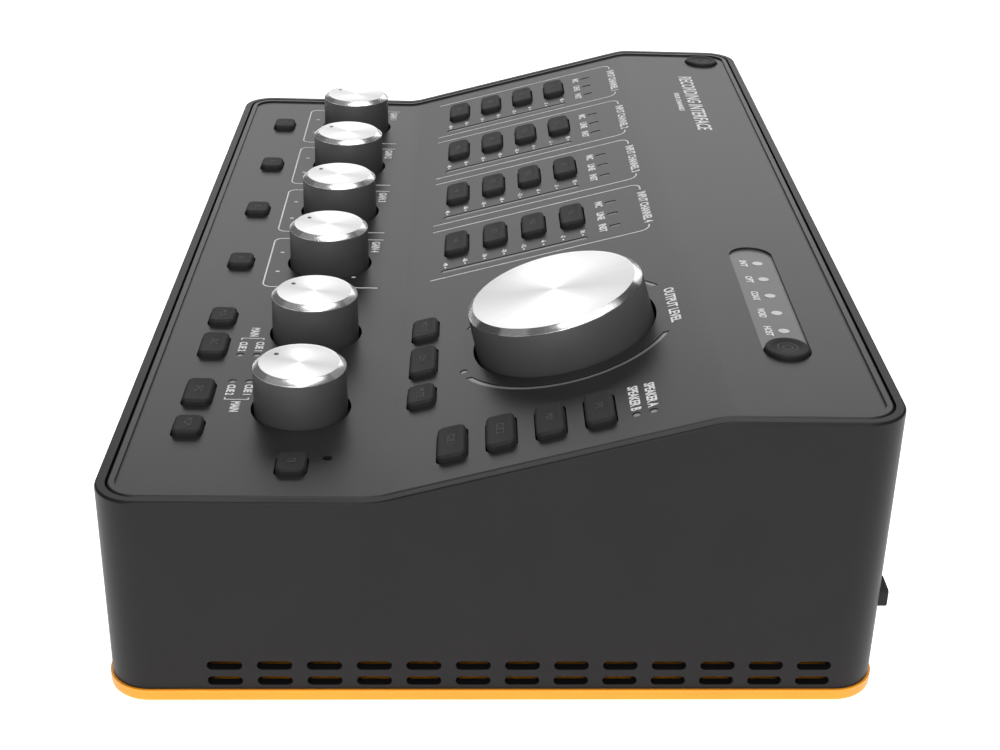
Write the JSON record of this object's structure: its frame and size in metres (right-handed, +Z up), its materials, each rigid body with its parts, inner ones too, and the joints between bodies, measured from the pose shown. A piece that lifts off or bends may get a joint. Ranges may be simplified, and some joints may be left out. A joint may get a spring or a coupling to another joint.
{
  "type": "audio interface",
  "caption": "Desktop audio interface with a sloped control panel, gain and phones knobs, a large level knob, soft keys and rear sockets.",
  "frame": {"origin": "under the middle of the whole object, on the surface it stands on", "axes": "+X to the user's right, +Y away from the user, +Z up"},
  "size_m": [0.266, 0.1668, 0.077],
  "materials": {
    "housing_paint": "satin charcoal",
    "panel_paint": "satin charcoal",
    "base_orange": "satin orange",
    "foot_rubber": "matte",
    "screw_steel": "blackened",
    "board": "solder mask",
    "switch_plastic": "moulded",
    "pot_metal": "plated",
    "lens_plastic": "clear smoked",
    "display_plastic": "satin",
    "socket_plastic": "moulded",
    "socket_metal": "polished",
    "key_rubber": "soft touch",
    "knob_plastic": "satin"
  },
  "bodies": {
    "chassis": {"housing": "housing_paint", "top_panel": "panel_paint", "base_plate": "base_orange", "feet": "foot_rubber", "base_screws": "screw_steel", "main_board": "board", "control_boards": "board", "key_switches": "switch_plastic", "pots": "pot_metal", "light_pipes": "lens_plastic", "display_tray": "display_plastic", "combo_sockets": "socket_plastic", "line_jacks": "socket_metal", "digital_sockets": "socket_metal", "data_sockets": "socket_metal", "power_inlet": "socket_metal", "headphone_jacks": "socket_metal"},
    "gain_key_1_body": {"gain_key_1": "key_rubber"},
    "gain_key_2_body": {"gain_key_2": "key_rubber"},
    "gain_key_3_body": {"gain_key_3": "key_rubber"},
    "gain_key_4_body": {"gain_key_4": "key_rubber"},
    "phones_1_mono_key_body": {"phones_1_mono_key": "key_rubber"},
    "phones_1_source_key_body": {"phones_1_source_key": "key_rubber"},
    "phones_2_source_key_body": {"phones_2_source_key": "key_rubber"},
    "phones_2_mono_key_body": {"phones_2_mono_key": "key_rubber"},
    "talkback_key_body": {"talkback_key": "key_rubber"},
    "display_button_body": {"display_button": "key_rubber"},
    "standby_button_body": {"standby_button": "key_rubber"},
    "mono_key_body": {"mono_key": "key_rubber"},
    "dim_key_body": {"dim_key": "key_rubber"},
    "mute_key_body": {"mute_key": "key_rubber"},
    "output_key_1_body": {"output_key_1": "key_rubber"},
    "output_key_2_body": {"output_key_2": "key_rubber"},
    "output_key_3_body": {"output_key_3": "key_rubber"},
    "output_key_4_body": {"output_key_4": "key_rubber"},
    "channel_1_key_1_body": {"channel_1_key_1": "key_rubber"},
    "channel_1_key_2_body": {"channel_1_key_2": "key_rubber"},
    "channel_1_key_3_body": {"channel_1_key_3": "key_rubber"},
    "channel_1_key_4_body": {"channel_1_key_4": "key_rubber"},
    "channel_2_key_1_body": {"channel_2_key_1": "key_rubber"},
    "channel_2_key_2_body": {"channel_2_key_2": "key_rubber"},
    "channel_2_key_3_body": {"channel_2_key_3": "key_rubber"},
    "channel_2_key_4_body": {"channel_2_key_4": "key_rubber"},
    "channel_3_key_1_body": {"channel_3_key_1": "key_rubber"},
    "channel_3_key_2_body": {"channel_3_key_2": "key_rubber"},
    "channel_3_key_3_body": {"channel_3_key_3": "key_rubber"},
    "channel_3_key_4_body": {"channel_3_key_4": "key_rubber"},
    "channel_4_key_1_body": {"channel_4_key_1": "key_rubber"},
    "channel_4_key_2_body": {"channel_4_key_2": "key_rubber"},
    "channel_4_key_3_body": {"channel_4_key_3": "key_rubber"},
    "channel_4_key_4_body": {"channel_4_key_4": "key_rubber"},
    "power_button_body": {"power_button": "key_rubber"},
    "gain_knob_1_body": {"gain_knob_1": "knob_plastic"},
    "gain_knob_2_body": {"gain_knob_2": "knob_plastic"},
    "gain_knob_3_body": {"gain_knob_3": "knob_plastic"},
    "gain_knob_4_body": {"gain_knob_4": "knob_plastic"},
    "phones_knob_1_body": {"phones_knob_1": "knob_plastic"},
    "phones_knob_2_body": {"phones_knob_2": "knob_plastic"},
    "output_knob_body": {"output_knob": "knob_plastic"}
  },
  "joints": [
    {"name": "gain_key_1_press", "type": "slide", "parent": "chassis", "child": "gain_key_1_body", "axis": [0, 0, 1], "range_m": [-0.0008, 0], "stiffness_N_per_m": 500, "springref_m": 0.0003},
    {"name": "gain_key_2_press", "type": "slide", "parent": "chassis", "child": "gain_key_2_body", "axis": [0, 0, 1], "range_m": [-0.0008, 0], "stiffness_N_per_m": 500, "springref_m": 0.0003},
    {"name": "gain_key_3_press", "type": "slide", "parent": "chassis", "child": "gain_key_3_body", "axis": [0, 0, 1], "range_m": [-0.0008, 0], "stiffness_N_per_m": 500, "springref_m": 0.0003},
    {"name": "gain_key_4_press", "type": "slide", "parent": "chassis", "child": "gain_key_4_body", "axis": [0, 0, 1], "range_m": [-0.0008, 0], "stiffness_N_per_m": 500, "springref_m": 0.0003},
    {"name": "phones_1_mono_key_press", "type": "slide", "parent": "chassis", "child": "phones_1_mono_key_body", "axis": [0, 0, 1], "range_m": [-0.0008, 0], "stiffness_N_per_m": 500, "springref_m": 0.0003},
    {"name": "phones_1_source_key_press", "type": "slide", "parent": "chassis", "child": "phones_1_source_key_body", "axis": [0, 0, 1], "range_m": [-0.0008, 0], "stiffness_N_per_m": 500, "springref_m": 0.0003},
    {"name": "phones_2_source_key_press", "type": "slide", "parent": "chassis", "child": "phones_2_source_key_body", "axis": [0, 0, 1], "range_m": [-0.0008, 0], "stiffness_N_per_m": 500, "springref_m": 0.0003},
    {"name": "phones_2_mono_key_press", "type": "slide", "parent": "chassis", "child": "phones_2_mono_key_body", "axis": [0, 0, 1], "range_m": [-0.0008, 0], "stiffness_N_per_m": 500, "springref_m": 0.0003},
    {"name": "talkback_key_press", "type": "slide", "parent": "chassis", "child": "talkback_key_body", "axis": [0, 0, 1], "range_m": [-0.0008, 0], "stiffness_N_per_m": 500, "springref_m": 0.0003},
    {"name": "display_button_press", "type": "slide", "parent": "chassis", "child": "display_button_body", "axis": [0, 0, 1], "range_m": [-0.0008, 0], "stiffness_N_per_m": 500, "springref_m": 0.0003},
    {"name": "standby_button_press", "type": "slide", "parent": "chassis", "child": "standby_button_body", "axis": [0, 0, 1], "range_m": [-0.0008, 0], "stiffness_N_per_m": 500, "springref_m": 0.0003},
    {"name": "mono_key_press", "type": "slide", "parent": "chassis", "child": "mono_key_body", "axis": [0, -0.2672, 0.9636], "range_m": [-0.0008, 0], "stiffness_N_per_m": 500, "springref_m": 0.0003},
    {"name": "dim_key_press", "type": "slide", "parent": "chassis", "child": "dim_key_body", "axis": [0, -0.2672, 0.9636], "range_m": [-0.0008, 0], "stiffness_N_per_m": 500, "springref_m": 0.0003},
    {"name": "mute_key_press", "type": "slide", "parent": "chassis", "child": "mute_key_body", "axis": [0, -0.2672, 0.9636], "range_m": [-0.0008, 0], "stiffness_N_per_m": 500, "springref_m": 0.0003},
    {"name": "output_key_1_press", "type": "slide", "parent": "chassis", "child": "output_key_1_body", "axis": [0, -0.2672, 0.9636], "range_m": [-0.0008, 0], "stiffness_N_per_m": 500, "springref_m": 0.0003},
    {"name": "output_key_2_press", "type": "slide", "parent": "chassis", "child": "output_key_2_body", "axis": [0, -0.2672, 0.9636], "range_m": [-0.0008, 0], "stiffness_N_per_m": 500, "springref_m": 0.0003},
    {"name": "output_key_3_press", "type": "slide", "parent": "chassis", "child": "output_key_3_body", "axis": [0, -0.2672, 0.9636], "range_m": [-0.0008, 0], "stiffness_N_per_m": 500, "springref_m": 0.0003},
    {"name": "output_key_4_press", "type": "slide", "parent": "chassis", "child": "output_key_4_body", "axis": [0, -0.2672, 0.9636], "range_m": [-0.0008, 0], "stiffness_N_per_m": 500, "springref_m": 0.0003},
    {"name": "channel_1_key_1_press", "type": "slide", "parent": "chassis", "child": "channel_1_key_1_body", "axis": [0, -0.2672, 0.9636], "range_m": [-0.0008, 0], "stiffness_N_per_m": 500, "springref_m": 0.0003},
    {"name": "channel_1_key_2_press", "type": "slide", "parent": "chassis", "child": "channel_1_key_2_body", "axis": [0, -0.2672, 0.9636], "range_m": [-0.0008, 0], "stiffness_N_per_m": 500, "springref_m": 0.0003},
    {"name": "channel_1_key_3_press", "type": "slide", "parent": "chassis", "child": "channel_1_key_3_body", "axis": [0, -0.2672, 0.9636], "range_m": [-0.0008, 0], "stiffness_N_per_m": 500, "springref_m": 0.0003},
    {"name": "channel_1_key_4_press", "type": "slide", "parent": "chassis", "child": "channel_1_key_4_body", "axis": [0, -0.2672, 0.9636], "range_m": [-0.0008, 0], "stiffness_N_per_m": 500, "springref_m": 0.0003},
    {"name": "channel_2_key_1_press", "type": "slide", "parent": "chassis", "child": "channel_2_key_1_body", "axis": [0, -0.2672, 0.9636], "range_m": [-0.0008, 0], "stiffness_N_per_m": 500, "springref_m": 0.0003},
    {"name": "channel_2_key_2_press", "type": "slide", "parent": "chassis", "child": "channel_2_key_2_body", "axis": [0, -0.2672, 0.9636], "range_m": [-0.0008, 0], "stiffness_N_per_m": 500, "springref_m": 0.0003},
    {"name": "channel_2_key_3_press", "type": "slide", "parent": "chassis", "child": "channel_2_key_3_body", "axis": [0, -0.2672, 0.9636], "range_m": [-0.0008, 0], "stiffness_N_per_m": 500, "springref_m": 0.0003},
    {"name": "channel_2_key_4_press", "type": "slide", "parent": "chassis", "child": "channel_2_key_4_body", "axis": [0, -0.2672, 0.9636], "range_m": [-0.0008, 0], "stiffness_N_per_m": 500, "springref_m": 0.0003},
    {"name": "channel_3_key_1_press", "type": "slide", "parent": "chassis", "child": "channel_3_key_1_body", "axis": [0, -0.2672, 0.9636], "range_m": [-0.0008, 0], "stiffness_N_per_m": 500, "springref_m": 0.0003},
    {"name": "channel_3_key_2_press", "type": "slide", "parent": "chassis", "child": "channel_3_key_2_body", "axis": [0, -0.2672, 0.9636], "range_m": [-0.0008, 0], "stiffness_N_per_m": 500, "springref_m": 0.0003},
    {"name": "channel_3_key_3_press", "type": "slide", "parent": "chassis", "child": "channel_3_key_3_body", "axis": [0, -0.2672, 0.9636], "range_m": [-0.0008, 0], "stiffness_N_per_m": 500, "springref_m": 0.0003},
    {"name": "channel_3_key_4_press", "type": "slide", "parent": "chassis", "child": "channel_3_key_4_body", "axis": [0, -0.2672, 0.9636], "range_m": [-0.0008, 0], "stiffness_N_per_m": 500, "springref_m": 0.0003},
    {"name": "channel_4_key_1_press", "type": "slide", "parent": "chassis", "child": "channel_4_key_1_body", "axis": [0, -0.2672, 0.9636], "range_m": [-0.0008, 0], "stiffness_N_per_m": 500, "springref_m": 0.0003},
    {"name": "channel_4_key_2_press", "type": "slide", "parent": "chassis", "child": "channel_4_key_2_body", "axis": [0, -0.2672, 0.9636], "range_m": [-0.0008, 0], "stiffness_N_per_m": 500, "springref_m": 0.0003},
    {"name": "channel_4_key_3_press", "type": "slide", "parent": "chassis", "child": "channel_4_key_3_body", "axis": [0, -0.2672, 0.9636], "range_m": [-0.0008, 0], "stiffness_N_per_m": 500, "springref_m": 0.0003},
    {"name": "channel_4_key_4_press", "type": "slide", "parent": "chassis", "child": "channel_4_key_4_body", "axis": [0, -0.2672, 0.9636], "range_m": [-0.0008, 0], "stiffness_N_per_m": 500, "springref_m": 0.0003},
    {"name": "power_button_press", "type": "slide", "parent": "chassis", "child": "power_button_body", "axis": [0, 1, 0], "range_m": [-0.0015, 0], "stiffness_N_per_m": 600, "springref_m": 0.0005},
    {"name": "gain_knob_1_turn", "type": "hinge", "parent": "chassis", "child": "gain_knob_1_body", "pos_m": [-0.1043, -0.04455, 0.0505], "axis": [0, 0, 1], "range_deg": [-300, 0]},
    {"name": "gain_knob_2_turn", "type": "hinge", "parent": "chassis", "child": "gain_knob_2_body", "pos_m": [-0.0665, -0.04455, 0.0505], "axis": [0, 0, 1], "range_deg": [-300, 0]},
    {"name": "gain_knob_3_turn", "type": "hinge", "parent": "chassis", "child": "gain_knob_3_body", "pos_m": [-0.0287, -0.04455, 0.0505], "axis": [0, 0, 1], "range_deg": [-300, 0]},
    {"name": "gain_knob_4_turn", "type": "hinge", "parent": "chassis", "child": "gain_knob_4_body", "pos_m": [0.0091, -0.04455, 0.0505], "axis": [0, 0, 1], "range_deg": [-300, 0]},
    {"name": "phones_knob_1_turn", "type": "hinge", "parent": "chassis", "child": "phones_knob_1_body", "pos_m": [0.0524, -0.04455, 0.0505], "axis": [0, 0, 1], "range_deg": [-300, 0]},
    {"name": "phones_knob_2_turn", "type": "hinge", "parent": "chassis", "child": "phones_knob_2_body", "pos_m": [0.0908, -0.04455, 0.0505], "axis": [0, 0, 1], "range_deg": [-300, 0]},
    {"name": "output_knob_turn", "type": "hinge", "parent": "chassis", "child": "output_knob_body", "pos_m": [0.0729, 0.01422, 0.06172], "axis": [0, -0.2672, 0.9636], "continuous": true}
  ]
}
